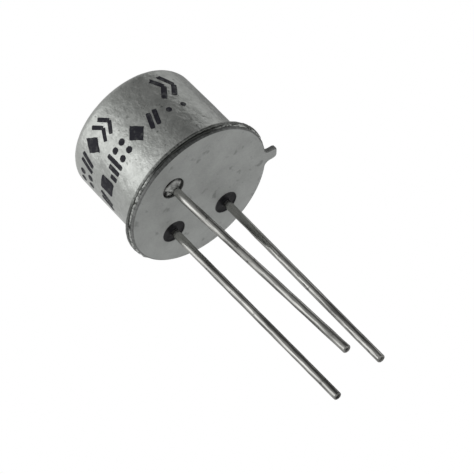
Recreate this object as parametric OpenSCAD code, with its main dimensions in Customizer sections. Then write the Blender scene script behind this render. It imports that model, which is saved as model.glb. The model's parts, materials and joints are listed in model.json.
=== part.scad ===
// Small-signal NPN transistor in a round metal can with three wire leads.
// Millimetres. The origin is the centre of the seating face, which is the flat
// underside of the header. +Z runs to the top of the can and the leads hang down.
// Seen from below and going clockwise from the index tab, the leads are
// emitter, base and collector. The collector lead is joined to the can.

/* [Can] */
// Outside diameter of the drawn can
can_d = 8.15; // [7.8:0.05:8.4]
// Height of the can's top above the seating face
can_h = 6.58; // [5:0.01:9]
// Wall of the drawn can
can_wall = 0.25; // [0.18:0.01:0.32]
// Outside radius of the can's top corner
can_corner_r = 0.58; // [0.4:0.02:1]
// Radius where the can's wall turns out into its flange
can_root_r = 0.1; // [0.05:0.01:0.14]
// Width of the can's flange beyond its wall
can_flange_w = 0.625; // [0.55:0.005:0.75]
// Thickness of the can's flange
can_flange_t = 0.2; // [0.16:0.01:0.3]

/* [Header] */
// Width by which the can's flange reaches past the header's edge
header_step_w = 0.12; // [0:0.005:0.15]
// Thickness of the header's flange
header_flange_t = 0.28; // [0.2:0.01:0.35]
// Height of the platform's top above the seating face
header_h = 1.15; // [0.8:0.05:1.6]
// Clearance between the platform and the can's bore
platform_clearance = 0.15; // [0.08:0.01:0.3]
// Radius on the platform's upper edge
platform_edge_r = 0.12; // [0.05:0.01:0.2]
// Radius on the sheared edges of both flanges
flange_edge_r = 0.06; // [0.03:0.01:0.09]
// Height of the weld ridge that parts the two flanges
seam_h = 0.03; // [0.02:0.01:0.08]
// Width of the weld ridge
seam_w = 0.32; // [0.1:0.01:0.34]

/* [Index tab] */
// Width of the index tab
tab_w = 0.8; // [0.6:0.02:0.95]
// Reach of the index tab past the header's flange
tab_l = 0.8; // [0.6:0.02:1.1]
// Radius on the tab's outer corners
tab_corner_r = 0.24; // [0.05:0.01:0.28]
// Radius where the tab leaves the flange
tab_root_r = 0.36; // [0.1:0.02:0.5]
// Direction of the index tab round the can in degrees, nominally -45
tab_at = -45.8; // [-48:0.1:-42]

/* [Leads] */
// Distance of each lead inside the platform's side, 1.135 for the 5.08 mm circle
lead_inset_w = 1.135; // [1:0.005:1.3]
// Diameter of the lead wire
lead_d = 0.48; // [0.4:0.01:0.54]
// Length of each lead below the seating face
lead_l = 14.2; // [8:0.1:40]
// Straight length below the seating face, before the lead leans
lead_straight_l = 0.9; // [0.5:0.1:3]
// Swelling of the wire where it was bent
lead_knee_t = 0.006; // [0.004:0.001:0.01]
// Radius on the cut end of a lead
lead_tip_r = 0.1; // [0.02:0.01:0.11]
// Lean of the emitter lead in degrees
emitter_lean = 3.7; // [0.5:0.1:8]
// Direction in which the emitter lead leans, in degrees round the can
emitter_lean_to = 194.5; // [0:0.1:359]
// Lean of the base lead in degrees
base_lean = 1.43; // [0.5:0.01:8]
// Direction in which the base lead leans, in degrees round the can
base_lean_to = 352.7; // [0:0.1:359]
// Lean of the collector lead in degrees
collector_lean = 2.95; // [0.5:0.01:8]
// Direction in which the collector lead leans, in degrees round the can
collector_lean_to = 322.7; // [0:0.1:359]

/* [Glass seals and collector joint] */
// Diameter of the holes that the glass seals fill
glass_d = 1.45; // [1.2:0.05:1.6]
// Depth of the glass below each face of the header
glass_recess = 0.05; // [0.02:0.01:0.1]
// Radius of the glass where it climbs the lead
glass_climb_r = 0.12; // [0.05:0.01:0.2]
// Diameter of the dimple that takes the collector lead
dimple_d = 1.36; // [1.2:0.02:1.6]
// Depth of the dimple
dimple_h = 0.12; // [0.06:0.01:0.2]
// Thickness of the braze on the dimple's floor
braze_t = 0.04; // [0.02:0.01:0.05]
// Radius of the braze where it climbs the lead
braze_climb_r = 0.38; // [0.2:0.02:0.4]

/* [Inside the can] */
// Height of the emitter and base posts above the platform
post_h = 0.6; // [0.4:0.05:1.2]
// Diameter of the nail head on each post
post_head_d = 0.8; // [0.6:0.05:1]
// Thickness of the nail head
post_head_t = 0.14; // [0.08:0.01:0.2]
// Side of the square silicon die
die_w = 0.95; // [0.6:0.05:1.2]
// Thickness of the die
die_t = 0.2; // [0.12:0.01:0.3]
// Margin of the gold preform round the die
preform_margin = 0.1; // [0.05:0.01:0.2]
// Thickness of the gold preform under the die
preform_t = 0.03; // [0.02:0.005:0.05]
// Diameter of the bond wires
wire_d = 0.05; // [0.03:0.005:0.08]
// Rise of each bond wire above the straight line between its ends
wire_rise = 0.5; // [0.3:0.05:0.7]
// Diameter of the flattened bond at each end of a wire
bond_d = 0.13; // [0.1:0.01:0.2]
// Thickness of the flattened bond
bond_t = 0.04; // [0.03:0.005:0.06]
// Distance of the emitter and base bonds from the die's centre
bond_offset = 0.24; // [0.15:0.01:0.28]

/* [Hidden] */
$fn = 64;

// Directions round the can, in degrees
emitter_at = 0;
base_at = 90;
collector_at = 180;

// Smallest radius that the punch leaves inside the can's corner
least_corner_r = 0.05;
// How far a drill or punch runs past the face that it enters
drill_past = 1;
// Share of the knee's depth at which the two stretches of a lead end
knee_share = 0.6;

can_r = can_d / 2;
bore_r = can_r - can_wall;
can_flange_r = can_r + can_flange_w;
can_inner_corner_r = max(can_corner_r - can_wall, least_corner_r);
can_mouth_r = can_root_r + can_wall;
can_base_z = header_flange_t + seam_h;
header_r = can_flange_r - header_step_w;
platform_r = bore_r - platform_clearance;
// The ridge stands midway between the can's rounded mouth and the header's edge
seam_r = (bore_r + can_mouth_r + header_r - flange_edge_r) / 2;
lead_r = lead_d / 2;
lead_circle_r = platform_r - lead_inset_w;
tip_r = min(lead_tip_r, lead_d / 4);
// Both stretches of a lead end this far from the knee's centre, inside the knee
knee_half = sqrt(2 * lead_r * lead_knee_t) * knee_share;
post_top_z = header_h + post_h;
die_base_z = header_h + preform_t;
die_top_z = die_base_z + die_t;

function round_at(a, r) = [r * cos(a), r * sin(a), 0];
emitter_xy = round_at(emitter_at, lead_circle_r);
base_xy = round_at(base_at, lead_circle_r);
collector_xy = round_at(collector_at, lead_circle_r);

// Half section of a disc with both rims rounded, standing on y = 0
module disc_section(r, t, edge_r) {
    square([r - edge_r, t]);
    translate([0, edge_r]) square([r, t - 2 * edge_r]);
    for (y = [edge_r, t - edge_r]) translate([r - edge_r, y]) circle(edge_r);
}

// Half section of a plug with its upper rim rounded, standing on y = 0
module plug_section(r, h, edge_r) {
    square([r - edge_r, h]);
    square([r, h - edge_r]);
    translate([r - edge_r, h - edge_r]) circle(edge_r);
}

// Concave corner that fills towards x = 0 and y = 0, with radius r
module inside_corner(r) {
    difference() {
        square(r);
        translate([r, r]) circle(r);
    }
}

module can() {
    color("#b3b5b1") rotate_extrude() difference() {
        union() {
            translate([0, can_base_z]) {
                disc_section(can_flange_r, can_flange_t, flange_edge_r);
                plug_section(can_r, can_h - can_base_z, can_corner_r);
            }
            translate([can_r, can_base_z + can_flange_t]) inside_corner(can_root_r);
        }
        translate([0, can_base_z])
            plug_section(bore_r, can_h - can_base_z - can_wall, can_inner_corner_r);
        translate([0, can_base_z]) square([bore_r, can_mouth_r]);
        translate([bore_r, can_base_z]) inside_corner(can_mouth_r);
    }
}

// Outline of the index tab along +X, with a fillet on each side of its root
module tab_outline() {
    root_y = tab_w / 2 + tab_root_r;
    root_x = sqrt(pow(header_r + tab_root_r, 2) - pow(root_y, 2));
    on_flange = header_r / (header_r + tab_root_r);
    reach = header_r + tab_l;
    translate([0, -tab_w / 2]) square([reach - tab_corner_r, tab_w]);
    translate([0, tab_corner_r - tab_w / 2]) square([reach, tab_w - 2 * tab_corner_r]);
    for (side = [-1, 1]) {
        translate([reach - tab_corner_r, side * (tab_w / 2 - tab_corner_r)])
            circle(tab_corner_r);
        difference() {
            polygon([[0, 0], [root_x, 0], [root_x, side * tab_w / 2],
                     [root_x * on_flange, side * root_y * on_flange]]);
            translate([root_x, side * root_y]) circle(tab_root_r);
        }
    }
}

module header() {
    color("#8d8f8c") difference() {
        union() {
            rotate_extrude() {
                disc_section(header_r, header_flange_t, flange_edge_r);
                plug_section(platform_r, header_h, platform_edge_r);
                translate([seam_r - seam_w / 2, header_flange_t / 2])
                    square([seam_w, header_flange_t / 2 + seam_h]);
            }
            rotate([0, 0, tab_at]) linear_extrude(header_flange_t) tab_outline();
        }
        for (p = [emitter_xy, base_xy])
            translate(p - [0, 0, drill_past])
                cylinder(d = glass_d, h = header_h + 2 * drill_past);
        translate(collector_xy - [0, 0, drill_past])
            cylinder(d = dimple_d, h = dimple_h + drill_past);
    }
}

// Glass bead round a lead: recessed at both faces and drawn up the lead
module glass_seal(p) {
    span = header_h - 2 * glass_recess;
    color("#26262a") translate(p + [0, 0, glass_recess]) rotate_extrude()
        translate([lead_r, 0]) {
            square([glass_d / 2 - lead_r, span]);
            translate([0, span]) inside_corner(glass_climb_r);
            mirror([0, 1]) inside_corner(glass_climb_r);
        }
}

module emitter_glass() {
    glass_seal(emitter_xy);
}

module base_glass() {
    glass_seal(base_xy);
}

// Half section of the leaning stretch, from its round cut end up into the knee
module lead_end_section(length) {
    translate([0, -length]) square([lead_r - tip_r, length - knee_half]);
    translate([0, tip_r - length]) square([lead_r, length - tip_r - knee_half]);
    translate([lead_r - tip_r, tip_r - length]) circle(tip_r);
}

// Lead from top_z down: a head of radius head_r, straight through its seal, a
// slightly swollen knee, then a straight lean to the cut end
module lead(p, top_z, head_r, lean, lean_to) {
    translate(p) {
        rotate_extrude() {
            translate([0, knee_half - lead_straight_l])
                square([lead_r, top_z + lead_straight_l - knee_half]);
            translate([0, top_z - post_head_t]) square([head_r, post_head_t]);
        }
        translate([0, 0, -lead_straight_l]) {
            sphere(lead_r + lead_knee_t);
            rotate([0, -lean, lean_to]) rotate_extrude()
                lead_end_section(lead_l - lead_straight_l);
        }
    }
}

module emitter_lead() {
    color("#c9c9c5")
        lead(emitter_xy, post_top_z, post_head_d / 2, emitter_lean, emitter_lean_to);
}

module base_lead() {
    color("#c9c9c5")
        lead(base_xy, post_top_z, post_head_d / 2, base_lean, base_lean_to);
}

module collector_lead() {
    color("#c9c9c5")
        lead(collector_xy, dimple_h, lead_r, collector_lean, collector_lean_to);
}

// Braze that fills the dimple's floor and climbs the collector lead
module collector_braze() {
    color("#a9aaa6") translate(collector_xy + [0, 0, dimple_h]) rotate_extrude()
        translate([lead_r, 0]) mirror([0, 1]) {
            square([dimple_d / 2 - lead_r, braze_t]);
            translate([0, braze_t]) inside_corner(braze_climb_r);
        }
}

module die() {
    color("#4a4c55") translate([-die_w / 2, -die_w / 2, die_base_z])
        cube([die_w, die_w, die_t]);
}

module die_preform() {
    side = die_w + 2 * preform_margin;
    color("#c9a24b") translate([-side / 2, -side / 2, header_h])
        cube([side, side, preform_t]);
}

// Arc of wire from point a to point b, bowed upwards by wire_rise
module wire_arc(a, b) {
    way = b - a;
    chord = norm(way);
    bow_r = (chord * chord / 4 + wire_rise * wire_rise) / (2 * wire_rise);
    half = asin(chord / (2 * bow_r));
    translate(a) rotate([0, 0, atan2(way[1], way[0])]) rotate([90, 0, 0])
        rotate([0, 0, atan2(way[2], norm([way[0], way[1]]))])
            translate([chord / 2, wire_rise - bow_r, 0])
                rotate([0, 0, 90 - half]) rotate_extrude(angle = 2 * half)
                    translate([bow_r, 0]) circle(d = wire_d);
}

// Bond wire from the die's top to a post, with a flattened bond at each end
module bond_wire(at, post_xy) {
    start = round_at(at, bond_offset) + [0, 0, die_top_z];
    finish = post_xy + [0, 0, post_top_z];
    color("#d8d9d6") {
        for (p = [start, finish]) translate(p) cylinder(d = bond_d, h = bond_t);
        wire_arc(start + [0, 0, wire_d / 2], finish + [0, 0, wire_d / 2]);
    }
}

module emitter_wire() {
    bond_wire(emitter_at, emitter_xy);
}

module base_wire() {
    bond_wire(base_at, base_xy);
}

can();
header();
emitter_glass();
base_glass();
emitter_lead();
base_lead();
collector_lead();
collector_braze();
die();
die_preform();
emitter_wire();
base_wire();
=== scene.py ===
"""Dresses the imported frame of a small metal-can transistor.

The frame gives the sizes and places. Each operator makes one piece, or one group of
like pieces, as a surface of two parameters worked out in millimetres.
"""

import json
import math

import bpy
import numpy as np
from bpy.props import FloatProperty, FloatVectorProperty, PointerProperty
from mathutils import Matrix, Vector


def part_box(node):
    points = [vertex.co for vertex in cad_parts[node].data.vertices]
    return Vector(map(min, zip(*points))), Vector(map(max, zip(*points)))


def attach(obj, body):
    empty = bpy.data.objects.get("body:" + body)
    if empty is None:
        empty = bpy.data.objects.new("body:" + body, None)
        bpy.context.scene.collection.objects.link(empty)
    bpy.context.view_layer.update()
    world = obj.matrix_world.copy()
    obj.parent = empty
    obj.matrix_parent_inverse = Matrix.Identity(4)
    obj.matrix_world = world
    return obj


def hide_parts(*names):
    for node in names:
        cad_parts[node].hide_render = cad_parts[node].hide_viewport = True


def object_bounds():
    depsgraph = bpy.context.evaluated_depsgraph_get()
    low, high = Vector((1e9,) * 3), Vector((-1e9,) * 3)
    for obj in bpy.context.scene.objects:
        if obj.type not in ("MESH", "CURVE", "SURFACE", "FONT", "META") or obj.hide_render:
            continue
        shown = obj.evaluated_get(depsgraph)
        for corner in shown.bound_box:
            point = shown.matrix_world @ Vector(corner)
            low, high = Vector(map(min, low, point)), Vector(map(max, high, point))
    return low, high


bl_info = {
    "name": "Metal-can transistor",
    "version": (1, 0, 0),
    "blender": (4, 5, 0),
    "location": "View3D > Sidebar > Transistor",
    "description": "Builds the visible surfaces of a small metal-can transistor",
    "category": "Add Mesh",
}

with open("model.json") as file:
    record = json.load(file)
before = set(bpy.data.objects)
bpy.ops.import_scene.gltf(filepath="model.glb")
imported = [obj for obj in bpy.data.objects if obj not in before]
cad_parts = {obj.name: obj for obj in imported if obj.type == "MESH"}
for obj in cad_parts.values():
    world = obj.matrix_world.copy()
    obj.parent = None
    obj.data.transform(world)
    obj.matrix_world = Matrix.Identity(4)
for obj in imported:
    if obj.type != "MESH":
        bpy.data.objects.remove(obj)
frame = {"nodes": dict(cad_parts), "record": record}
CAD_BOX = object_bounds()
MOUNTS = {mount["name"]: mount for mount in frame["record"]["mounts"]}
MM = 0.001
BODY = "root"
LEADS = ("emitter_lead", "base_lead", "collector_lead")
TAU = 2 * math.pi
# Places and directions in the frame, with lengths in millimetres
AIM = Vector((-0.152, 0.125, -3.618))
LAMP_AWAY = 240
BRIGHT_WAY = (-0.34, 0.94, 0.15)
DARK_ARC_WAY = (-0.84, -0.54, 0.0)
LEAD_SIDES = 40
LEAD_STEP = 0.07
# A Mix node set to colours takes its mask at 0, the colour under it at 6 and the colour
# over it at 7, and gives its result at 2.
COLOURS = {"data_type": "RGBA"}


def box_mm(node):
    """Lowest and highest corner of a frame node, in millimetres."""
    low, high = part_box(node)
    return np.array(low) / MM, np.array(high) / MM


def linear(code):
    """Linear colour of an sRGB hex code such as #8a8c8a."""
    parts = [int(code[i : i + 2], 16) / 255 for i in (1, 3, 5)]
    return tuple(
        part / 12.92 if part <= 0.04045 else ((part + 0.055) / 1.055) ** 2.4
        for part in parts
    )


def rgba(colour, factor=1.0):
    """A linear colour made darker or lighter by factor, with full alpha."""
    return (*(min(1.0, part * factor) for part in colour), 1.0)


def length(name, description, default, low=0.0, high=50.0):
    """A length that a user can change, in millimetres."""
    return FloatProperty(
        name=name, description=description, default=default, min=low, max=high, precision=3
    )


def number(name, description, default, unit="NONE"):
    """A plain number that a user can change."""
    return FloatProperty(name=name, description=description, default=default, unit=unit)


def turn(name, description, degrees):
    """An angle that a user can change, given in degrees."""
    return number(name, description, math.radians(degrees), "ROTATION")


def tint(name, description, code):
    """A colour that a user can change, given as an sRGB hex code."""
    return FloatVectorProperty(
        name=name,
        description=description,
        default=linear(code),
        subtype="COLOR",
        size=3,
        min=0.0,
        max=1.0,
    )


class CanSizes(bpy.types.PropertyGroup):
    """Sizes of the drawn can, in millimetres."""

    wall: length("Wall", "Wall of the drawn can", 0.25)
    corner: length("Corner", "Outside radius of the top corner", 0.58)
    root: length("Root", "Radius between the wall and the flange", 0.1)
    flange: length("Flange", "Thickness of the flange", 0.2)
    edge: length("Edge", "Radius on the flange's sheared edge", 0.06)
    ripple: length("Ripple", "Unevenness left by drawing", 0.008)
    pebble: length("Pebble", "Finer unevenness left by barrel plating", 0.004)
    burr: length("Burr", "Unevenness of the flange's sheared edge", 0.018)


class HeaderSizes(bpy.types.PropertyGroup):
    """Sizes of the header and its index tab, in millimetres."""

    flange: length("Flange", "Thickness of the flange and the tab", 0.28)
    roll: length("Roll", "Radius that shearing leaves on the flange's lower edge", 0.1)
    edge: length("Edge", "Radius on the flange's upper edge", 0.02)
    burr: length("Burr", "Unevenness of the flange's sheared edge", 0.018)
    seam_width: length("Seam width", "Width of the weld ridge", 0.32)
    seam_radius: length("Seam radius", "Radius of the weld ridge", 4.35)
    flash: length("Flash", "Thickness of the metal squeezed out of the weld", 0.16)
    platform: length("Platform", "Radius of the platform", 3.675)
    platform_edge: length("Platform edge", "Radius on the platform's edge", 0.12)
    tab_angle: turn("Tab angle", "Direction of the index tab round the header", -45.8)
    tab_width: length("Tab width", "Width of the index tab", 0.8)
    tab_reach: length("Tab reach", "Reach of the tab past the flange", 0.8)
    tab_corner: length("Tab corner", "Radius of the tab's corners", 0.24)
    tab_root: length("Tab root", "Radius where the tab leaves the flange", 0.36)
    hub: length("Hub", "Radius of the plain disc between the leads", 1.2)
    hole_lip: length("Hole lip", "Radius on the mouth of each hole", 0.025)
    dimple: length("Dimple", "Depth of the collector's dimple", 0.12)


class LeadSizes(bpy.types.PropertyGroup):
    """Sizes of the leads, their seals and the braze, in millimetres."""

    straight: length("Straight", "Straight length before the lean", 0.9)
    length: length("Length", "Length below the seating face", 14.199)
    knee: length("Knee", "Length over which a lead bends", 0.5)
    tip: length("Tip", "Radius on the cut end", 0.1)
    head: length("Head", "Radius of the nail head inside", 0.4)
    head_thickness: length("Head thickness", "Thickness of the nail head", 0.14)
    coat: length("Coat", "Height of the lumps in the tin", 0.006)
    glass_climb: length("Glass climb", "Radius of the glass where it climbs a lead", 0.12)
    braze_climb: length("Braze climb", "Radius of the braze on the lead", 0.38)
    braze_floor: length("Braze floor", "Thickness of the braze", 0.04)
    pleat: length("Pleat", "Height of the folds in the braze", 0.05)


class InkSizes(bpy.types.PropertyGroup):
    """Sizes and places of the ink marks on the can's side, in millimetres."""

    height: length("Height", "Height of a mark in the two rows", 1.3)
    side_height: length("Side height", "Height of the mark beside the rows", 1.7)
    lift: length("Lift", "Thickness of the ink", 0.01)
    upper_row: length("Upper row", "Height of the upper row", 5.05)
    lower_row: length("Lower row", "Height of the lower row", 3.15)
    upper_start: turn("Upper start", "Direction of the upper row's first mark", 129.5)
    lower_start: turn("Lower start", "Direction of the lower row's first mark", 127)
    pitch: turn("Pitch", "Angle from one mark to the next", 17.3)
    side_mark: turn("Side mark", "Direction of the mark beside the rows", 242)


class FinishColours(bpy.types.PropertyGroup):
    """Colours of the finishes."""

    nickel: tint("Nickel", "Matte nickel of the can", "#a4a6a3")
    stain: tint("Stain", "Handled and stained patches of the can", "#7d807c")
    header: tint("Header", "Plated alloy of the header", "#a8aaa8")
    glass: tint("Glass", "Black sealing glass", "#0a0a0c")
    tin: tint("Tin", "Tinned wire", "#8b8b88")
    braze: tint("Braze", "Bright braze", "#9d9e9b")
    ink: tint("Ink", "Stamping ink", "#14141d")
    floor: tint("Floor", "Pale studio floor", "#f2f2f2")


class StudioSettings(bpy.types.PropertyGroup):
    """The light, and the camera that matches the photograph."""

    heading: turn("Heading", "Direction of the camera round the can", -162.59)
    elevation: turn("Elevation", "Height of the camera as an angle", -30.70)
    roll: turn("Roll", "Turn of the camera about its line of sight", 44.66)
    distance: length("Distance", "From the camera to its aim", 126.64, 10, 1000)
    lens: number("Lens", "Focal length on a 36 mm sensor", 177.3, "CAMERA")
    key_power: number("Key light", "Power of the key light", 0.13, "POWER")
    fill_power: number("Fill light", "Power of the fill light", 0.045, "POWER")
    ambient: number("Ambient", "Strength of the even light from all round", 0.75)
    bright_side: number("Bright side", "Level that metal mirrors towards the key", 0.86)
    dark_side: number("Dark side", "Level that metal mirrors away from it", 0.19)


def direction(heading, elevation):
    """Unit vector at an angle round the can and an angle above the level."""
    flat = math.cos(elevation)
    return Vector((flat * math.cos(heading), flat * math.sin(heading), math.sin(elevation)))


def pairs(u, v):
    """Two arrays that pair each value of u with each value of v."""
    return np.meshgrid(u, v, indexing="ij")


def lumps(seed, along, around, reach, turns, waves=9):
    """Smooth unevenness of about -1 to 1.

    A sum of sines whose phase is a frequency times along plus a whole number of turns
    times around, so it closes on itself when around runs through a full circle.
    """
    draw = np.random.default_rng(seed)
    frequency = draw.uniform(-reach, reach, waves)
    whole = draw.integers(-turns, turns + 1, waves)
    phase = draw.uniform(0, TAU, waves)
    total = sum(
        np.sin(f * along + w * around + p) for f, w, p in zip(frequency, whole, phase)
    )
    return total / math.sqrt(2 * waves)


def arc(centre, radius, start, end, count):
    """Points centre + radius * (cos a, sin a), with a from start to end in degrees."""
    a = np.radians(np.linspace(start, end, count))
    return np.stack([centre[0] + radius * np.cos(a), centre[1] + radius * np.sin(a)], 1)


def spaced(profile, step):
    """The same outline, with points added so that none are further apart than step."""
    parts = []
    for a, b in zip(profile[:-1], profile[1:]):
        count = max(1, int(math.ceil(np.linalg.norm(b - a) / step)))
        t = np.arange(count)[:, None] / count
        parts.append(a + (b - a) * t)
    parts.append(profile[-1:])
    return np.concatenate(parts)


def quads(rows, columns, first, close_rows, close_columns):
    """Faces of a grid of rows by columns whose first vertex has the number first."""
    r = np.arange(rows if close_rows else rows - 1)
    c = np.arange(columns if close_columns else columns - 1)
    r, c = pairs(r, c)
    r2, c2 = (r + 1) % rows, (c + 1) % columns
    corners = [r * columns + c, r2 * columns + c, r2 * columns + c2, r * columns + c2]
    return np.stack(corners, -1).reshape(-1, 4) + first


def mesh_piece(name, grids, material):
    """One mesh object from grids of points in millimetres.

    Each grid is (points, close_rows, close_columns). Points that coincide are merged,
    so poles and seams close, and the faces are turned outwards.
    """
    points, faces, first = [], [], 0
    for grid, close_rows, close_columns in grids:
        rows, columns = grid.shape[:2]
        points.append(grid.reshape(-1, 3))
        faces.append(quads(rows, columns, first, close_rows, close_columns))
        first += rows * columns
    mesh = bpy.data.meshes.new(name)
    mesh.from_pydata(np.concatenate(points) * MM, [], np.concatenate(faces).tolist())
    piece = bpy.data.objects.new(name, mesh)
    bpy.context.scene.collection.objects.link(piece)
    bpy.ops.object.select_all(action="DESELECT")
    bpy.context.view_layer.objects.active = piece
    piece.select_set(True)
    bpy.ops.object.mode_set(mode="EDIT")
    bpy.ops.mesh.select_all(action="SELECT")
    bpy.ops.mesh.remove_doubles(threshold=1e-4 * MM)
    bpy.ops.mesh.dissolve_degenerate(threshold=1e-5 * MM)
    bpy.ops.mesh.select_all(action="SELECT")
    bpy.ops.mesh.normals_make_consistent(inside=False)
    bpy.ops.object.mode_set(mode="OBJECT")
    mesh.shade_smooth()
    mesh.set_sharp_from_angle(angle=math.radians(40))
    mesh.materials.append(material)
    return piece


def revolved(profile, segments, centre=(0, 0)):
    """Surface (r cos a, r sin a, z) of a profile of (r, z), and its angles a."""
    a = np.arange(segments) / segments * TAU
    r, a = pairs(profile[:, 0], a)
    z = np.repeat(profile[:, 1:2], segments, axis=1)
    return np.stack([centre[0] + r * np.cos(a), centre[1] + r * np.sin(a), z], -1), r, a, z


def put(piece, slot, *nodes):
    """Lets a piece ride on the body and stand for its frame nodes; slot is not used."""
    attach(piece, BODY)
    if nodes:
        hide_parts(*nodes)


def add_node(tree, kind, inputs=None, output=0, **settings):
    """Adds a node, sets its settings, sets or links its inputs, and gives one output."""
    node = tree.nodes.new(kind)
    for name, value in settings.items():
        setattr(node, name, value)
    for name, value in (inputs or {}).items():
        if isinstance(value, bpy.types.NodeSocket):
            tree.links.new(value, node.inputs[name])
        else:
            node.inputs[name].default_value = value
    return node.outputs[output] if node.outputs else None


def new_material(name):
    """A material, its node tree with nothing else in it, and its Object coordinates."""
    material = bpy.data.materials.new(name)
    material.use_nodes = True
    tree = material.node_tree
    tree.nodes.clear()
    return material, tree, add_node(tree, "ShaderNodeTexCoord", output="Object")


def per_metre(size_mm):
    """Noise scale, on coordinates in metres, for features of this size in millimetres."""
    return 1 / (size_mm * MM)


def speckle(tree, place, size_mm, low, high, to_low=0.0, to_high=1.0, detail=2.0):
    """Mask from noise of this size: to_low below the level low, to_high above high."""
    noise = add_node(
        tree,
        "ShaderNodeTexNoise",
        {"Vector": place, "Scale": per_metre(size_mm), "Detail": detail, "Roughness": 0.6},
    )
    levels = {"Value": noise, "From Min": low, "From Max": high, "To Min": to_low}
    return add_node(tree, "ShaderNodeMapRange", {**levels, "To Max": to_high})


def sheared_edge(tree, place, across, low, high):
    """Mask of a sheared edge: grows as across goes from low to high, with streaks.

    The streaks run through the sheet's thickness. Real ones are about 0.05 mm apart,
    and these are 0.16 mm, the finest that show.
    """
    stretched = add_node(
        tree, "ShaderNodeMapping", {"Vector": place, "Scale": (1.0, 1.0, 0.12)}
    )
    streaks = speckle(tree, stretched, 0.16, 0.3, 0.7, 0.6, 1.0, 3.0)
    mask = add_node(
        tree, "ShaderNodeMapRange", {"Value": across, "From Min": low, "From Max": high}
    )
    return add_node(tree, "ShaderNodeMath", {0: mask, 1: streaks}, operation="MULTIPLY")


def finish(tree, colour, roughness, bump=None, **others):
    """Ends a node tree, as a metal's unless others says that it isn't one.

    bump is (height mask, strength, height in millimetres).
    """
    inputs = {"Base Color": colour, "Metallic": 1.0, "Roughness": roughness, **others}
    if bump:
        height, strength, size_mm = bump
        relief = {"Height": height, "Strength": strength, "Distance": size_mm * MM}
        inputs["Normal"] = add_node(tree, "ShaderNodeBump", relief)
    shader = add_node(tree, "ShaderNodeBsdfPrincipled", inputs)
    add_node(tree, "ShaderNodeOutputMaterial", {"Surface": shader})


def matte_nickel(colours, sizes):
    """Dull nickel plate on a deep-drawn can.

    Barrel-plated sheet: satin, with a pebbled grain, cloudy handling stains, dark
    specks where the plate is thin, hair scratches, and weld heat on the flange's edge.
    """
    material, tree, place = new_material("matte_nickel_plate")
    nickel, stain = colours.nickel, colours.stain
    clouds = speckle(tree, place, 2.4, 0.38, 0.68, 0.0, 0.75, 4.0)
    scuffs = speckle(tree, place, 0.6, 0.5, 0.72, 0.0, 0.45, 4.0)
    grain = speckle(tree, place, 0.4, 0.3, 0.7, 0.0, 1.0, 4.0)
    pale = speckle(tree, place, 0.3, 0.3, 0.7, 0.0, 0.5, 3.0)
    pits = speckle(tree, place, 0.3, 0.68, 0.76, 0.0, 0.6, 1.0)
    slant = {"Vector": place, "Rotation": (0.4, 0.5, 0.0), "Scale": (1.0, 1.0, 16.0)}
    slanted = add_node(tree, "ShaderNodeMapping", slant)
    hairs = speckle(tree, slanted, 2.0, 0.68, 0.72, 0.0, 0.2)
    height = add_node(tree, "ShaderNodeSeparateXYZ", {"Vector": place}, "Z")
    lip = (box_mm("can")[0][2] + sizes.flange) * MM
    heat = sheared_edge(tree, place, height, lip - 0.02 * MM, lip - 0.07 * MM)
    layers = [(clouds, rgba(stain)), (scuffs, rgba(nickel, 1.35)), (pale, rgba(nickel, 1.3))]
    layers += [(pits, rgba(stain, 0.4)), (hairs, rgba(nickel, 1.5)), (heat, rgba(stain, 0.32))]
    colour = rgba(nickel)
    for mask, over in layers:
        colour = add_node(tree, "ShaderNodeMix", {0: mask, 6: colour, 7: over}, 2, **COLOURS)
    rough = speckle(tree, place, 0.4, 0.3, 0.7, 0.3, 0.46, 4.0)
    finish(tree, colour, rough, (grain, 0.7, 0.035))
    return material


def plated_alloy(colours):
    """Plated iron-nickel-cobalt alloy of the header.

    The oven leaves it an even dull grey with a few faint spots. The sheared edges of
    the flange and the tab are darker, with streaks through their thickness. This is
    partly their own rough finish and partly painted shade on all the steep sides.
    They are nearly black along one arc of the ring.
    """
    material, tree, place = new_material("plated_sealing_alloy")
    clouds = speckle(tree, place, 1.8, 0.35, 0.7, 0.0, 1.0, 3.0)
    spots = speckle(tree, place, 0.8, 0.61, 0.7, 0.0, 0.55)
    normal = add_node(tree, "ShaderNodeTexCoord", output="Normal")
    steep = add_node(tree, "ShaderNodeSeparateXYZ", {"Vector": normal}, "Z")
    steep = add_node(tree, "ShaderNodeMath", {0: steep}, operation="ABSOLUTE")
    # The steep sides are painted darker: partly the sheared edges' own finish, partly painted
    # shade.
    edge = sheared_edge(tree, place, steep, 0.995, 0.94)
    both = {0: edge, 1: dark_arc_mask(tree, place)}
    darker_arc = add_node(tree, "ShaderNodeMath", both, operation="MULTIPLY")
    colour = rgba(colours.header, 1.06)
    for mask, factor in ((clouds, 0.88), (spots, 0.5), (edge, 0.38), (darker_arc, 0.16)):
        over = rgba(colours.header, factor)
        colour = add_node(tree, "ShaderNodeMix", {0: mask, 6: colour, 7: over}, 2, **COLOURS)
    grain = speckle(tree, place, 0.12, 0.3, 0.7, 0.0, 1.0, 3.0)
    rough = speckle(tree, place, 0.12, 0.3, 0.7, 0.6, 0.72, 3.0)
    finish(tree, colour, rough, (grain, 0.2, 0.01))
    return material


def dark_arc_mask(tree, place):
    """Mask of one arc of the ring, about 60 degrees long, that is made darker."""
    towards = {0: place, 1: DARK_ARC_WAY}
    along = add_node(tree, "ShaderNodeVectorMath", towards, "Value", operation="DOT_PRODUCT")
    reach = {"Value": along, "From Min": 3.6 * MM, "From Max": 4.2 * MM}
    return add_node(tree, "ShaderNodeMapRange", reach)


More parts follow.
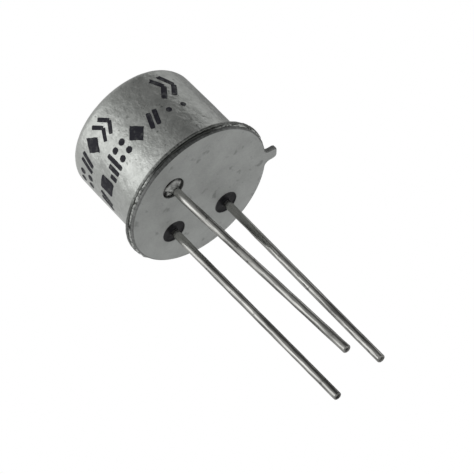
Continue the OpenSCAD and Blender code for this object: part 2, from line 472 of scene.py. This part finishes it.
def weld_metal(colours):
    """Metal squeezed out of the ring weld.

    It is bright where it ran, scorched in spots, and darker along one arc of the ring.
    """
    material, tree, place = new_material("resistance_weld_flash")
    spots = speckle(tree, place, 0.3, 0.45, 0.65, 0.0, 1.0, 3.0)
    darker_arc = dark_arc_mask(tree, place)
    spots_and_arc = add_node(tree, "ShaderNodeMath", {0: spots, 1: darker_arc}, operation="MAXIMUM")
    tones = {0: spots_and_arc, 6: rgba(colours.nickel, 1.1), 7: rgba(colours.stain, 0.2)}
    colour = add_node(tree, "ShaderNodeMix", tones, 2, **COLOURS)
    finish(tree, colour, 0.28, (spots_and_arc, 0.5, 0.03))
    return material


def sealing_glass(colours):
    """Black sealing glass fused in place: it looks almost black, with a dull gloss."""
    material, tree, place = new_material("black_sealing_glass")
    flow = speckle(tree, place, 0.35, 0.3, 0.7)
    tones = {0: flow, 6: rgba(colours.glass), 7: rgba(colours.glass, 3.0)}
    colour = add_node(tree, "ShaderNodeMix", tones, 2, **COLOURS)
    gloss = {"Metallic": 0.0, "IOR": 1.52, "Specular IOR Level": 0.1}
    finish(tree, colour, 0.38, (flow, 0.4, 0.02), **gloss)
    return material


def tinned_wire(colours):
    """Hot-tinned wire: bright, with a slightly lumpy coat drawn out along its length.

    The tin stops short of the seals, where the plated wire is more satin. Its colour
    there is painted paler, as painted light where the header shades the wire.
    """
    material, tree, place = new_material("hot_tinned_wire")
    stretch = {"Vector": place, "Scale": (1.0, 1.0, 0.08)}
    drawn = add_node(tree, "ShaderNodeMapping", stretch)
    coat = speckle(tree, drawn, 0.24, 0.35, 0.65, 0.0, 1.0, 3.0)
    pits = speckle(tree, place, 0.3, 0.62, 0.72, 0.0, 0.7)
    # Painted light: towards the header the wire is painted paler, and it is made more satin.
    height = add_node(tree, "ShaderNodeSeparateXYZ", {"Vector": place}, "Z")
    reach = {"Value": height, "From Min": -3.0 * MM, "From Max": -1.2 * MM}
    satin_and_painted_light = add_node(tree, "ShaderNodeMapRange", reach)
    colour = rgba(colours.tin, 0.45)
    for mask, factor in ((coat, 1.5), (pits, 0.25), (satin_and_painted_light, 1.7)):
        over = rgba(colours.tin, factor)
        colour = add_node(tree, "ShaderNodeMix", {0: mask, 6: colour, 7: over}, 2, **COLOURS)
    rough = speckle(tree, drawn, 0.24, 0.35, 0.65, 0.16, 0.08, 3.0)
    rough = add_node(tree, "ShaderNodeMix", {0: satin_and_painted_light, 2: rough, 3: 0.26})
    grazing = {"Specular Tint": (0.5, 0.5, 0.5, 1.0)}
    finish(tree, colour, rough, (coat, 0.35, 0.02), **grazing)
    return material


def bright_braze(colours, depth_mm):
    """Braze that froze round the collector lead.

    Shiny and wrinkled where it stands proud. Down in the dimple it is painted nearly
    black, as painted shade in the trough.
    """
    material, tree, place = new_material("bright_braze")
    skin = speckle(tree, place, 0.2, 0.3, 0.7)
    # Painted shade: the braze turns nearly black where it lies deep in the dimple.
    height = add_node(tree, "ShaderNodeSeparateXYZ", {"Vector": place}, "Z")
    low, high = (depth_mm - 0.09) * MM, (depth_mm - 0.04) * MM
    depth = {"Value": height, "From Min": low, "From Max": high}
    trough_shade = add_node(tree, "ShaderNodeMapRange", depth)
    colour = rgba(colours.braze, 0.45)
    for mask, factor in ((skin, 1.15), (trough_shade, 0.04)):
        over = rgba(colours.braze, factor)
        colour = add_node(tree, "ShaderNodeMix", {0: mask, 6: colour, 7: over}, 2, **COLOURS)
    finish(tree, colour, 0.2, (skin, 0.5, 0.03))
    return material


def stamping_ink(colours):
    """Stamping ink: matte blue-black, thinner where the pad left less of it."""
    material, tree, place = new_material("stamping_ink")
    thin = speckle(tree, place, 0.3, 0.5, 0.75, 0.0, 0.3, 3.0)
    tones = {0: thin, 6: rgba(colours.ink), 7: rgba(colours.stain)}
    colour = add_node(tree, "ShaderNodeMix", tones, 2, **COLOURS)
    finish(tree, colour, 0.65, **{"Metallic": 0.0, "Specular IOR Level": 0.25})
    return material


def inner_metal(name, code, roughness, grain_mm):
    """A finish for what the closed can hides: one colour with a fine grain."""
    material, tree, place = new_material(name)
    grain = speckle(tree, place, grain_mm, 0.3, 0.7)
    tones = {0: grain, 6: rgba(linear(code), 0.85), 7: rgba(linear(code), 1.1)}
    colour = add_node(tree, "ShaderNodeMix", tones, 2, **COLOURS)
    finish(tree, colour, roughness)
    return material


class TRANSISTOR_OT_can(bpy.types.Operator):
    """Builds the drawn can: one closed profile turned about the can's axis"""

    bl_idname = "transistor.can"
    bl_label = "Can"

    def execute(self, context):
        sizes = context.scene.can_sizes
        low, high = box_mm("can")
        side, reach = MOUNTS["can_side"]["dims"]["r_mm"], high[0]
        top, seat, edge = high[2], low[2], sizes.edge
        upper = seat + sizes.flange
        bore, mouth = side - sizes.wall, sizes.root + sizes.wall
        inner = sizes.corner - sizes.wall
        corners = [
            [[0, top]],
            arc((side - sizes.corner, top - sizes.corner), sizes.corner, 90, 0, 16),
            arc((side + sizes.root, upper + sizes.root), sizes.root, 180, 270, 8),
            arc((reach - edge, upper - edge), edge, 90, 0, 6),
            arc((reach - edge, seat + edge), edge, 0, -90, 6),
            arc((bore + mouth, seat + mouth), mouth, 270, 180, 10),
            arc((bore - inner, top - sizes.wall - inner), inner, 0, 90, 8),
            [[0, top - sizes.wall]],
        ]
        profile = spaced(np.concatenate(corners), 0.12)
        surface, r, a, z = revolved(profile, 480)
        sheet = sizes.ripple * lumps(4, z, a, 1.5, 5)
        sheet += sizes.pebble * lumps(7, z, a, 7.0, 34, 30)
        sheet *= np.clip(r / side, 0, 1)
        rim = np.clip((r - side - sizes.root) / (reach - side - sizes.root), 0, 1)
        burr = rim * sizes.burr * lumps(5, z, a, 6.0, 70, 24)
        surface[..., 0] += (sheet - np.abs(burr)) * np.cos(a)
        surface[..., 1] += (sheet - np.abs(burr)) * np.sin(a)
        surface[..., 2] += burr
        piece = mesh_piece(
            "can_skin",
            [(surface, False, True)],
            matte_nickel(context.scene.finish_colours, sizes),
        )
        put(piece, "can_nickel", "can")
        return {"FINISHED"}


def tab_outline(sizes, radius):
    """Outline of the header with its tab, anticlockwise.

    Away from the tab it is the flange's circle. Half of the tab is half of its end,
    the corner's arc, the straight side and the root fillet, and the other half is the
    mirror image.
    """
    half, reach = sizes.tab_width / 2, radius + sizes.tab_reach
    root_y = half + sizes.tab_root
    root_x = math.sqrt((radius + sizes.tab_root) ** 2 - root_y**2)
    leave = math.degrees(math.atan2(root_y, root_x))
    corner = (reach - sizes.tab_corner, half - sizes.tab_corner)
    upper = np.concatenate(
        [
            [[reach, 0], [reach, corner[1] / 2]],
            arc(corner, sizes.tab_corner, 0, 90, 9),
            spaced(np.array([[corner[0], half], [root_x, half]]), 0.1)[1:-1],
            arc((root_x, root_y), sizes.tab_root, 270, 180 + leave, 12),
        ]
    )
    rest = arc((0, 0), radius, leave, 360 - leave, 421)[1:-1]
    outline = np.concatenate([upper, rest, upper[:0:-1] * (1, -1)])
    c, s = math.cos(sizes.tab_angle), math.sin(sizes.tab_angle)
    return outline @ np.array([[c, s], [-s, c]])


def outward(outline):
    """Unit normals of a closed anticlockwise outline."""
    along = np.roll(outline, -1, axis=0) - np.roll(outline, 1, axis=0)
    along /= np.linalg.norm(along, axis=1)[:, None]
    return np.stack([along[:, 1], -along[:, 0]], 1)


def at_height(points, z):
    """Flat points given the height z."""
    return np.concatenate([points, np.full((*points.shape[:-1], 1), z)], -1)


def with_corners(outline):
    """The outline with a point on each diagonal, so that the face can be quartered."""
    angle = np.arctan2(outline[:, 1], outline[:, 0])
    for diagonal in np.radians([45, 135, -135, -45]):
        nearest = np.argmin(np.abs((angle - diagonal + math.pi) % TAU - math.pi))
        radius = np.linalg.norm(outline[nearest])
        outline[nearest] = radius * np.array([math.cos(diagonal), math.sin(diagonal)])
    return outline


def lead_root(name, leads):
    """Where a lead leaves the header: its leaning axis followed up to its knee."""
    mount = MOUNTS[name]
    place, axis = np.array(mount["pos_m"]) / MM, np.array(mount["axis"])
    at_knee = place + axis * ((-leads.straight - place[2]) / axis[2])
    return at_knee[:2]


def quarter(point):
    """Which quarter of the header, centred on an axis, holds a point."""
    return int(round(math.degrees(math.atan2(point[1], point[0])) / 90)) % 4


def holed_quarter(rim, centre, rings, z):
    """Flat patch from a closed rim to a hole, and on down the hole's wall.

    Point (s, t) lies on the straight line from the hole's centre to the rim's point s.
    It is on the rim at t = 0 and on the hole's circle at t = 1, and after that it
    follows rings, which lists the (radius, z) of the circles down the hole.
    """
    way = rim - centre
    way /= np.linalg.norm(way, axis=1)[:, None]
    share = np.linspace(1, 0, 8)[:, None, None]
    circle = centre + rings[0][0] * way
    flat = at_height(circle + (rim - circle) * share, z)
    wall = [at_height(centre + radius * way, level) for radius, level in rings]
    return np.concatenate([flat, np.array(wall)[1:]])


def hole_rings(radius, z, inwards, lip, deep):
    """Circles from the face at z over a rounded lip, down the wall, and on to deep."""
    a = np.radians(np.linspace(0, 90, 4))
    mouth = zip(radius + lip * (1 - np.sin(a)), z + inwards * lip * (1 - np.cos(a)))
    return list(mouth) + deep


class TRANSISTOR_OT_header(bpy.types.Operator):
    """Builds the header: its outline carried over rounded edges, and holed faces"""

    bl_idname = "transistor.header"
    bl_label = "Header"

    def execute(self, context):
        sizes, leads = context.scene.header_sizes, context.scene.lead_sizes
        low, high = box_mm("header")
        top, flange, roll, edge = high[2], sizes.flange, sizes.roll, sizes.edge
        outline = with_corners(tab_outline(sizes, -low[0]))
        angle = np.arctan2(outline[:, 1], outline[:, 0])
        circle = np.stack([np.cos(angle), np.sin(angle)], 1)
        a = np.radians(np.linspace(0, 90, 6))
        inset, rise = 1 - np.sin(a), 1 - np.cos(a)
        section = list(zip(roll * inset, roll * rise))
        section += list(zip(edge * inset, flange - edge * rise))[::-1]
        normal = outward(outline)
        rim = np.array([at_height(outline - normal * inset, z) for inset, z in section])
        out = (rim[..., 2] > roll / 2) & (rim[..., 2] < flange - edge / 2)
        burr = sizes.burr / 2 * lumps(6, rim[..., 2], angle[None, :], 6.0, 70, 24)
        rim[..., :2] += normal * (burr * out)[..., None]
        ridge_in = sizes.seam_radius - sizes.seam_width / 2
        ridge_out = sizes.seam_radius + sizes.seam_width / 2
        ridge_top = box_mm("can")[0][2]
        crown = sizes.platform - sizes.platform_edge
        steps = [(ridge_out, flange), (ridge_out, ridge_top), (ridge_in, ridge_top)]
        steps += [(ridge_in, flange), (sizes.platform, flange)]
        steps += list(arc((crown, top - sizes.platform_edge), sizes.platform_edge, 0, 90, 6))
        upper = np.array([rim[-1]] + [at_height(circle * r, z) for r, z in steps])
        share = np.linspace(0, 1, 10)[:, None, None]
        ring = at_height(circle * sizes.platform, 0.0)
        border = ring + (rim[0] - ring) * share
        grids = [(rim, False, True), (upper, False, True), (border, False, True)]
        for z, inwards, reach in ((0.0, 1.0, sizes.platform), (top, -1.0, crown)):
            hub = [at_height(circle * r, z) for r in np.linspace(0, sizes.hub, 5)]
            grids.append((np.array(hub), False, True))
            grids += self.quarters(angle, reach, z, inwards, top, sizes, leads)
        piece = mesh_piece(
            "header_plate", grids, plated_alloy(context.scene.finish_colours)
        )
        put(piece, "header_alloy", "header")
        return {"FINISHED"}

    def quarters(self, angle, reach, z, inwards, top, sizes, leads):
        """The four quarters of a face, from the hub out to reach, with their holes."""
        holes = {}
        for lead, node in (("emitter_lead", "emitter_glass"), ("base_lead", "base_glass")):
            low, high = box_mm(node)
            radius, centre = (high[1] - low[1]) / 2, lead_root(lead, leads)
            rings = hole_rings(radius, z, inwards, sizes.hole_lip, [(radius, top / 2)])
            holes[quarter(centre)] = (centre, rings)
        if inwards > 0:
            low, high = box_mm("collector_braze")
            radius, centre = (high[1] - low[1]) / 2, lead_root("collector_lead", leads)
            deep = [(radius, sizes.dimple), (0.0, sizes.dimple)]
            rings = hole_rings(radius, z, inwards, sizes.hole_lip, deep)
            holes[quarter(centre)] = (centre, rings)
        grids = []
        span_out = np.linspace(0, 1, 14)[:, None, None]
        for number in range(4):
            middle = math.radians(90 * number)
            gap = (angle - middle + math.pi) % TAU - math.pi
            part = middle + np.sort(gap[np.abs(gap) < math.radians(45) + 1e-6])
            ray = np.stack([np.cos(part), np.sin(part)], 1)
            sector = ray * (sizes.hub + (reach - sizes.hub) * span_out)
            if number in holes:
                sides = sector[:, -1][::-1][1:-1], sector[:, 0][1:-1]
                rim = np.concatenate([sector[-1], sides[0], sector[0][::-1], sides[1]])
                grids.append((holed_quarter(rim, *holes[number], z), False, True))
            else:
                grids.append((at_height(sector, z), False, False))
        return grids


class TRANSISTOR_OT_weld(bpy.types.Operator):
    """Builds the weld flash: an uneven tube turned round just under the can's flange

    Its middle is sunk into the header's edge, and it stays clear of the can's reach.
    """

    bl_idname = "transistor.weld"
    bl_label = "Weld flash"

    def execute(self, context):
        sizes = context.scene.header_sizes
        inner, outer = box_mm("header")[1][1], box_mm("can")[1][1]
        sunk, under, clear = 0.01, 0.05, 0.03
        v, a = pairs(np.arange(20) / 20 * TAU, np.arange(720) / 720 * TAU)
        swell = np.clip(1 + 0.35 * lumps(41, v * 0, a, 1.0, 45, 24), 0.3, 1.8)
        wide = sizes.flash / 2 * swell * (1 + 0.15 * lumps(42, v, a, 3.0, 120, 16))
        middle = inner - sunk + 0.015 * lumps(43, v * 0, a, 1.0, 30)
        r = np.minimum(middle + wide * np.cos(v), outer - clear)
        z = box_mm("can")[0][2] - under + 0.025 * lumps(44, v * 0, a, 1.0, 24)
        surface = np.stack([r * np.cos(a), r * np.sin(a), z + wide * np.sin(v)], -1)
        material = weld_metal(context.scene.finish_colours)
        piece = mesh_piece("weld_flash", [(surface, True, True)], material)
        put(piece, "header_alloy")
        return {"FINISHED"}


class TRANSISTOR_OT_seals(bpy.types.Operator):
    """Builds the glass beads: turned profiles that climb the lead at both ends

    Outside, the face curls down to the hole's edge in three short steps.
    """

    bl_idname = "transistor.seals"
    bl_label = "Glass seals"

    def execute(self, context):
        climb = context.scene.lead_sizes.glass_climb
        material = sealing_glass(context.scene.finish_colours)
        for seed, name in enumerate(("emitter", "base")):
            low, high = box_mm(name + "_glass")
            wire = MOUNTS[name + "_lead"]["dims"]["r_mm"]
            edge = (high[1] - low[1]) / 2
            bottom, top = low[2] + climb, high[2] - climb
            corners = [
                arc((wire + climb, bottom - climb), climb, 180, 90, 12),
                [[edge - 0.12, bottom], [edge - 0.04, bottom - 0.01], [edge, bottom - 0.03]],
                [[edge, top]],
                arc((wire + climb, top + climb), climb, 270, 180, 12),
            ]
            profile = spaced(np.concatenate(corners), 0.06)
            centre = lead_root(name + "_lead", context.scene.lead_sizes)
            surface, r, a, _ = revolved(profile, 96, centre)
            free = np.sin(np.clip((r - wire) / (edge - wire), 0, 1) * math.pi)
            surface[..., 2] += 0.008 * free * lumps(seed + 31, r, a, 6.0, 3)
            piece = mesh_piece(name + "_seal", [(surface, True, True)], material)
            put(piece, "seal_glass", name + "_glass")
        return {"FINISHED"}


def lead_path(lean, way, leads, top):
    """Places, tangents and distances s below the seating face, down a lead.

    The lead's angle from the vertical grows smoothly from 0 to lean over the knee, and
    the path is the running sum of the tangent (sin, -cos) in the plane that leans.
    """
    neck = leads.head_thickness - top
    s = np.concatenate(
        [
            [-top, neck, neck],
            np.arange(neck + LEAD_STEP, leads.length - leads.tip, LEAD_STEP),
            leads.length - leads.tip * (1 - np.sin(np.radians(np.linspace(0, 90, 8)))),
        ]
    )
    t = np.clip((s - leads.straight + leads.knee / 2) / leads.knee, 0, 1)
    bend = lean * t * t * (3 - 2 * t)
    tangent = np.stack([np.sin(bend), -np.cos(bend)], 1)
    between = tangent.copy()
    between[1:] = (tangent[1:] + tangent[:-1]) / 2
    path = np.cumsum(between * np.diff(s, prepend=s[0])[:, None], axis=0) + (0, top)
    across = np.array([math.cos(way), math.sin(way)])
    places = np.c_[path[:, :1] * across, path[:, 1]]
    tangents = np.c_[tangent[:, :1] * across, tangent[:, 1]]
    return places, tangents, s


class TRANSISTOR_OT_leads(bpy.types.Operator):
    """Builds the leads: a circle carried down each bent path, under an uneven coat"""

    bl_idname = "transistor.leads"
    bl_label = "Leads"

    def execute(self, context):
        leads = context.scene.lead_sizes
        material = tinned_wire(context.scene.finish_colours)
        for seed, name in enumerate(LEADS):
            mount = MOUNTS[name]
            lean = math.acos(-mount["axis"][2])
            way = math.atan2(mount["axis"][1], mount["axis"][0])
            places, tangents, s = lead_path(lean, way, leads, box_mm(name)[1][2])
            radius = np.full(len(s), mount["dims"]["r_mm"])
            if name != "collector_lead":
                radius[:2] = leads.head
            to_tip = np.clip((s - leads.length + leads.tip) / leads.tip, 0, 1)
            radius -= leads.tip * (1 - np.sqrt(1 - to_tip**2))
            rows, a = pairs(s, np.arange(LEAD_SIDES) / LEAD_SIDES * TAU)
            coat = leads.coat * lumps(seed + 11, rows, a, 5.0, 4, 18)
            coat *= np.clip((rows - 0.2) / 1.5, 0, 1)
            wide = (radius[:, None] + coat)[..., None]
            side = np.array([-math.sin(way), math.cos(way), 0])
            other = np.cross(tangents, side)[:, None, :]
            a = a[..., None]
            tube = places[:, None, :] + wide * (np.cos(a) * side + np.sin(a) * other)
            centres = (tube[i : i + 1].mean(1, keepdims=True) for i in (0, -2))
            first, last = (np.repeat(centre, LEAD_SIDES, 1) for centre in centres)
            last[..., 2] = tube[-1, :, 2].mean()
            tube = np.concatenate([first, tube, last])
            tube[..., :2] += lead_root(name, leads)
            piece = mesh_piece(name + "_wire", [(tube, False, True)], material)
            put(piece, "lead_tin", name)
        return {"FINISHED"}


class TRANSISTOR_OT_braze(bpy.types.Operator):
    """Builds the collector's braze: a concave cone with folds that run up the lead"""

    bl_idname = "transistor.braze"
    bl_label = "Collector braze"

    def execute(self, context):
        leads = context.scene.lead_sizes
        low, high = box_mm("collector_braze")
        wire = MOUNTS["collector_lead"]["dims"]["r_mm"]
        depth, edge, climb = high[2], (high[1] - low[1]) / 2, leads.braze_climb
        floor = depth - leads.braze_floor
        corners = [
            arc((wire + climb, floor - climb), climb, 180, 90, 20),
            [[edge - 0.04, floor + 0.01], [edge, depth - 0.004], [edge, depth]],
            [[wire, depth]],
        ]
        profile = spaced(np.concatenate(corners), 0.03)
        centre = lead_root("collector_lead", leads)
        surface, r, a, z = revolved(profile, 160, centre)
        up = np.clip((floor + 0.005 - z) / 0.1, 0, 1)
        away = np.clip((r - wire) / 0.12, 0, 1) * np.clip((edge - r) / 0.1, 0, 1)
        folds = lumps(23, r, a, 3.0, 9, 8) * leads.pleat * away
        surface[..., 2] -= folds * (0.4 + 0.6 * up)
        piece = mesh_piece(
            "collector_fillet",
            [(surface, True, True)],
            bright_braze(context.scene.finish_colours, depth),
        )
        put(piece, "braze_metal", "collector_braze")
        return {"FINISHED"}


# Each mark is a list of patches: place across and up, half width, half height, power
# and turn in degrees, with the lengths as shares of the mark's height. A power of 1
# makes a diamond, 2 a dot and 8 a bar with slightly rounded ends.
RISING_BARS = [(x, 0.45 * x - 0.15, 0.11, 0.35 + 0.45 * x, 8, 0) for x in (-0.32, 0, 0.32)]
SLASHES = [(x, 0, 0.11, 0.42, 8, -20) for x in (-0.16, 0.16)]
DIAMOND = [(0, 0, 0.42, 0.5, 1, 0)]
FOUR_DOTS = [(x, y, 0.16, 0.16, 2, 0) for x in (-0.24, 0.24) for y in (-0.27, 0.27)]
BLOCK = [(0, 0, 0.36, 0.42, 8, 0)]
ARROWS = [(x, y, 0.1, 0.31, 8, 140 * y) for x in (-0.22, 0.2) for y in (-0.25, 0.25)]
DOT = [(0, 0, 0.1, 0.1, 2, 0)]


def ink_patch(at, level, height, patch, radius, seed):
    """Grid of (share of the way out, direction) over one superellipse on the can.

    Its outline is |x / a|^p + |y / b|^p = 1, made slightly ragged and turned, and x is
    laid round the can as an angle x / radius.
    """
    across, up, half_width, half_height, power, degrees = patch
    share, q = pairs(np.linspace(0, 1, 6), np.arange(72) / 72 * TAU)
    c, s = np.cos(q), np.sin(q)
    ragged = share * (1 + 0.035 * lumps(seed, share * 0, q, 1.0, 11))
    x = ragged * half_width * np.sign(c) * np.abs(c) ** (2 / power)
    y = ragged * half_height * np.sign(s) * np.abs(s) ** (2 / power)
    c, s = math.cos(math.radians(degrees)), math.sin(math.radians(degrees))
    around = at + (across + x * c - y * s) * height / radius
    z = level + (up + x * s + y * c) * height
    return np.stack([radius * np.cos(around), radius * np.sin(around), z], -1)


class TRANSISTOR_OT_ink(bpy.types.Operator):
    """Builds the plain ink marks: superellipses laid on the can's side"""

    bl_idname = "transistor.ink"
    bl_label = "Ink marks"

    def execute(self, context):
        sizes = context.scene.ink_sizes
        radius = MOUNTS["can_side"]["dims"]["r_mm"] + sizes.lift
        upper = [FOUR_DOTS, SLASHES, DIAMOND, ARROWS]
        lower = [SLASHES, BLOCK, RISING_BARS, FOUR_DOTS, DIAMOND, SLASHES]
        upper_at = sizes.upper_start + sizes.pitch * np.arange(len(upper))
        lower_at = sizes.lower_start + sizes.pitch * np.arange(len(lower))
        side, side_row, dots_apart = sizes.side_height, sizes.upper_row - 0.2, 0.24
        marks = [(at, sizes.upper_row, sizes.height, m) for at, m in zip(upper_at, upper)]
        marks += [(at, sizes.lower_row, sizes.height, m) for at, m in zip(lower_at, lower)]
        marks += [(sizes.side_mark, side_row, side, ARROWS)]
        dots_at = (sizes.side_mark, sizes.side_mark - dots_apart)
        marks += [(at, sizes.lower_row, side, DOT) for at in dots_at]
        grids = []
        for at, level, height, patches in marks:
            for patch in patches:
                grid = ink_patch(at, level, height, patch, radius, len(grids))
                grids.append((grid, False, True))
        piece = mesh_piece("ink_marks", grids, stamping_ink(context.scene.finish_colours))
        put(piece, "can_nickel")
        return {"FINISHED"}


class TRANSISTOR_OT_inside(bpy.types.Operator):
    """Gives finishes to the die, its preform and the bond wires inside the can"""

    bl_idname = "transistor.inside"
    bl_label = "Inside"

    def execute(self, context):
        aluminium = inner_metal("drawn_aluminium_wire", "#d4d5d3", 0.3, 0.05)
        finishes = {
            "die": inner_metal("polished_silicon", "#5a5d68", 0.15, 0.3),
            "die_preform": inner_metal("gold_silicon_preform", "#d0a54c", 0.35, 0.1),
            "emitter_wire": aluminium,
            "base_wire": aluminium,
        }
        for node, material in finishes.items():
            for slot in frame["nodes"][node].material_slots:
                slot.material = material
        return {"FINISHED"}


class TRANSISTOR_OT_stage(bpy.types.Operator):
    """Sets the pale floor, the white surroundings, the soft lamps and the camera"""

    bl_idname = "transistor.stage"
    bl_label = "Stage"

    def execute(self, context):
        studio = context.scene.studio
        self.floor(context)
        self.surroundings(context, studio)
        self.lamp("key", 153, 30, 200, studio.key_power)
        self.lamp("fill", 305, 35, 160, studio.fill_power)
        self.camera(context, studio)
        context.scene.view_settings.view_transform = "Standard"
        return {"FINISHED"}

    def floor(self, context):
        """A wide disc just under the lead tips, which can't be seen from below."""
        level = CAD_BOX[0][2] / MM - 0.05
        r, a = pairs(np.array([0.0, 60, 200, 800]), np.arange(64) / 64 * TAU)
        disc = np.stack([r * np.cos(a), r * np.sin(a), np.full(r.shape, level)], -1)
        material, tree, place = new_material("pale_studio_floor")
        tone = context.scene.finish_colours.floor
        paper = speckle(tree, place, 3.0, 0.3, 0.7)
        tones = {0: paper, 6: rgba(tone), 7: rgba(tone, 0.985)}
        colour = add_node(tree, "ShaderNodeMix", tones, 2, **COLOURS)
        lit = add_node(tree, "ShaderNodeBsdfDiffuse", {"Color": colour})
        white = add_node(tree, "ShaderNodeEmission", {"Strength": 1.0})
        clear = add_node(tree, "ShaderNodeBsdfTransparent")
        away = add_node(tree, "ShaderNodeVectorMath", {0: place}, "Value", operation="LENGTH")
        outwards = {"Value": away, "From Min": 40 * MM, "From Max": 200 * MM}
        far = add_node(tree, "ShaderNodeMapRange", outwards)
        camera = add_node(tree, "ShaderNodeLightPath", output="Is Camera Ray")
        glossy = add_node(tree, "ShaderNodeLightPath", output="Is Glossy Ray")
        seen = add_node(tree, "ShaderNodeMath", {0: camera, 1: glossy}, operation="MAXIMUM")
        fade = add_node(tree, "ShaderNodeMath", {0: seen, 1: far}, operation="MULTIPLY")
        sheet = add_node(tree, "ShaderNodeMixShader", {0: fade, 1: lit, 2: white})
        below = add_node(tree, "ShaderNodeNewGeometry", output="Backfacing")
        shader = add_node(tree, "ShaderNodeMixShader", {0: below, 1: sheet, 2: clear})
        add_node(tree, "ShaderNodeOutputMaterial", {"Surface": shader})
        piece = mesh_piece("studio_floor", [(disc, False, True)], material)
        if piece.data.polygons[0].normal.z < 0:
            piece.data.flip_normals()

    def surroundings(self, context, studio):
        """White for the camera and glass, and a soft bright side for metal to mirror."""
        world = bpy.data.worlds.new("white_studio")
        context.scene.world = world
        world.use_nodes = True
        tree = world.node_tree
        tree.nodes.clear()
        way = add_node(tree, "ShaderNodeTexCoord", output="Generated")
        facing = {0: way, 1: BRIGHT_WAY}
        towards = add_node(
            tree, "ShaderNodeVectorMath", facing, "Value", operation="DOT_PRODUCT"
        )
        reach = {"Value": towards, "From Min": -0.55, "From Max": 0.3}
        reach.update({"To Min": studio.dark_side, "To Max": studio.bright_side})
        level = add_node(tree, "ShaderNodeMapRange", reach)
        even = add_node(tree, "ShaderNodeBackground", {"Strength": studio.ambient})
        mirrored = add_node(tree, "ShaderNodeBackground", {"Strength": level})
        white = add_node(tree, "ShaderNodeBackground", {"Strength": 1.0})
        for node in tree.nodes:
            if node.type == "BACKGROUND":
                node.inputs["Color"].default_value = (1, 1, 1, 1)
        camera = add_node(tree, "ShaderNodeLightPath", output="Is Camera Ray")
        glossy = add_node(tree, "ShaderNodeLightPath", output="Is Glossy Ray")
        through = add_node(tree, "ShaderNodeLightPath", output="Is Transmission Ray")
        seen = add_node(tree, "ShaderNodeMath", {0: camera, 1: through}, operation="MAXIMUM")
        lit = add_node(tree, "ShaderNodeMixShader", {0: glossy, 1: even, 2: mirrored})
        sky = add_node(tree, "ShaderNodeMixShader", {0: seen, 1: lit, 2: white})
        add_node(tree, "ShaderNodeOutputWorld", {"Surface": sky})

    def lamp(self, name, heading, elevation, size, power):
        """A soft round lamp that faces the can, with its size in millimetres."""
        way = direction(math.radians(heading), math.radians(elevation))
        data = bpy.data.lights.new(name, "AREA")
        data.shape = "DISK"
        data.size = size * MM
        data.energy = power
        lamp = bpy.data.objects.new(name, data)
        bpy.context.scene.collection.objects.link(lamp)
        lamp.location = way * LAMP_AWAY * MM
        lamp.rotation_euler = (-way).to_track_quat("-Z", "Y").to_euler()

    def camera(self, context, studio):
        """The photograph's view: from below, turned about the line of sight."""
        back = direction(studio.heading, studio.elevation)
        right = Vector((0, 0, 1)).cross(back).normalized()
        up = back.cross(right)
        c, s = math.cos(studio.roll), math.sin(studio.roll)
        axes = Matrix((right * c - up * s, up * c + right * s, back)).transposed()
        data = bpy.data.cameras.new("photo_view")
        data.lens = studio.lens
        data.clip_start = 0.01
        data.clip_end = 20
        camera = bpy.data.objects.new("photo_view", data)
        context.scene.collection.objects.link(camera)
        place = (AIM + back * studio.distance) * MM
        camera.matrix_world = Matrix.Translation(place) @ axes.to_4x4()
        context.scene.camera = camera


OPERATORS = (
    TRANSISTOR_OT_stage,
    TRANSISTOR_OT_can,
    TRANSISTOR_OT_header,
    TRANSISTOR_OT_weld,
    TRANSISTOR_OT_seals,
    TRANSISTOR_OT_leads,
    TRANSISTOR_OT_braze,
    TRANSISTOR_OT_ink,
    TRANSISTOR_OT_inside,
)
SETTINGS = {
    "can_sizes": CanSizes,
    "header_sizes": HeaderSizes,
    "lead_sizes": LeadSizes,
    "ink_sizes": InkSizes,
    "finish_colours": FinishColours,
    "studio": StudioSettings,
}


class TRANSISTOR_PT_panel(bpy.types.Panel):
    """Lists the pieces in the 3D view's sidebar"""

    bl_idname = "TRANSISTOR_PT_panel"
    bl_label = "Transistor"
    bl_space_type = "VIEW_3D"
    bl_region_type = "UI"
    bl_category = "Transistor"

    def draw(self, context):
        for operator in OPERATORS:
            self.layout.operator(operator.bl_idname)


def register():
    for settings in SETTINGS.values():
        bpy.utils.register_class(settings)
    for name, settings in SETTINGS.items():
        setattr(bpy.types.Scene, name, PointerProperty(type=settings))
    for shown in (*OPERATORS, TRANSISTOR_PT_panel):
        bpy.utils.register_class(shown)


def unregister():
    for shown in reversed((*OPERATORS, TRANSISTOR_PT_panel)):
        bpy.utils.unregister_class(shown)
    for name in SETTINGS:
        delattr(bpy.types.Scene, name)
    for settings in reversed(list(SETTINGS.values())):
        bpy.utils.unregister_class(settings)


def main():
    register()
    bpy.ops.transistor.stage()
    bpy.ops.transistor.can()
    bpy.ops.transistor.header()
    bpy.ops.transistor.weld()
    bpy.ops.transistor.seals()
    bpy.ops.transistor.leads()
    bpy.ops.transistor.braze()
    bpy.ops.transistor.ink()
    bpy.ops.transistor.inside()


if __name__ == "__main__":
    main()
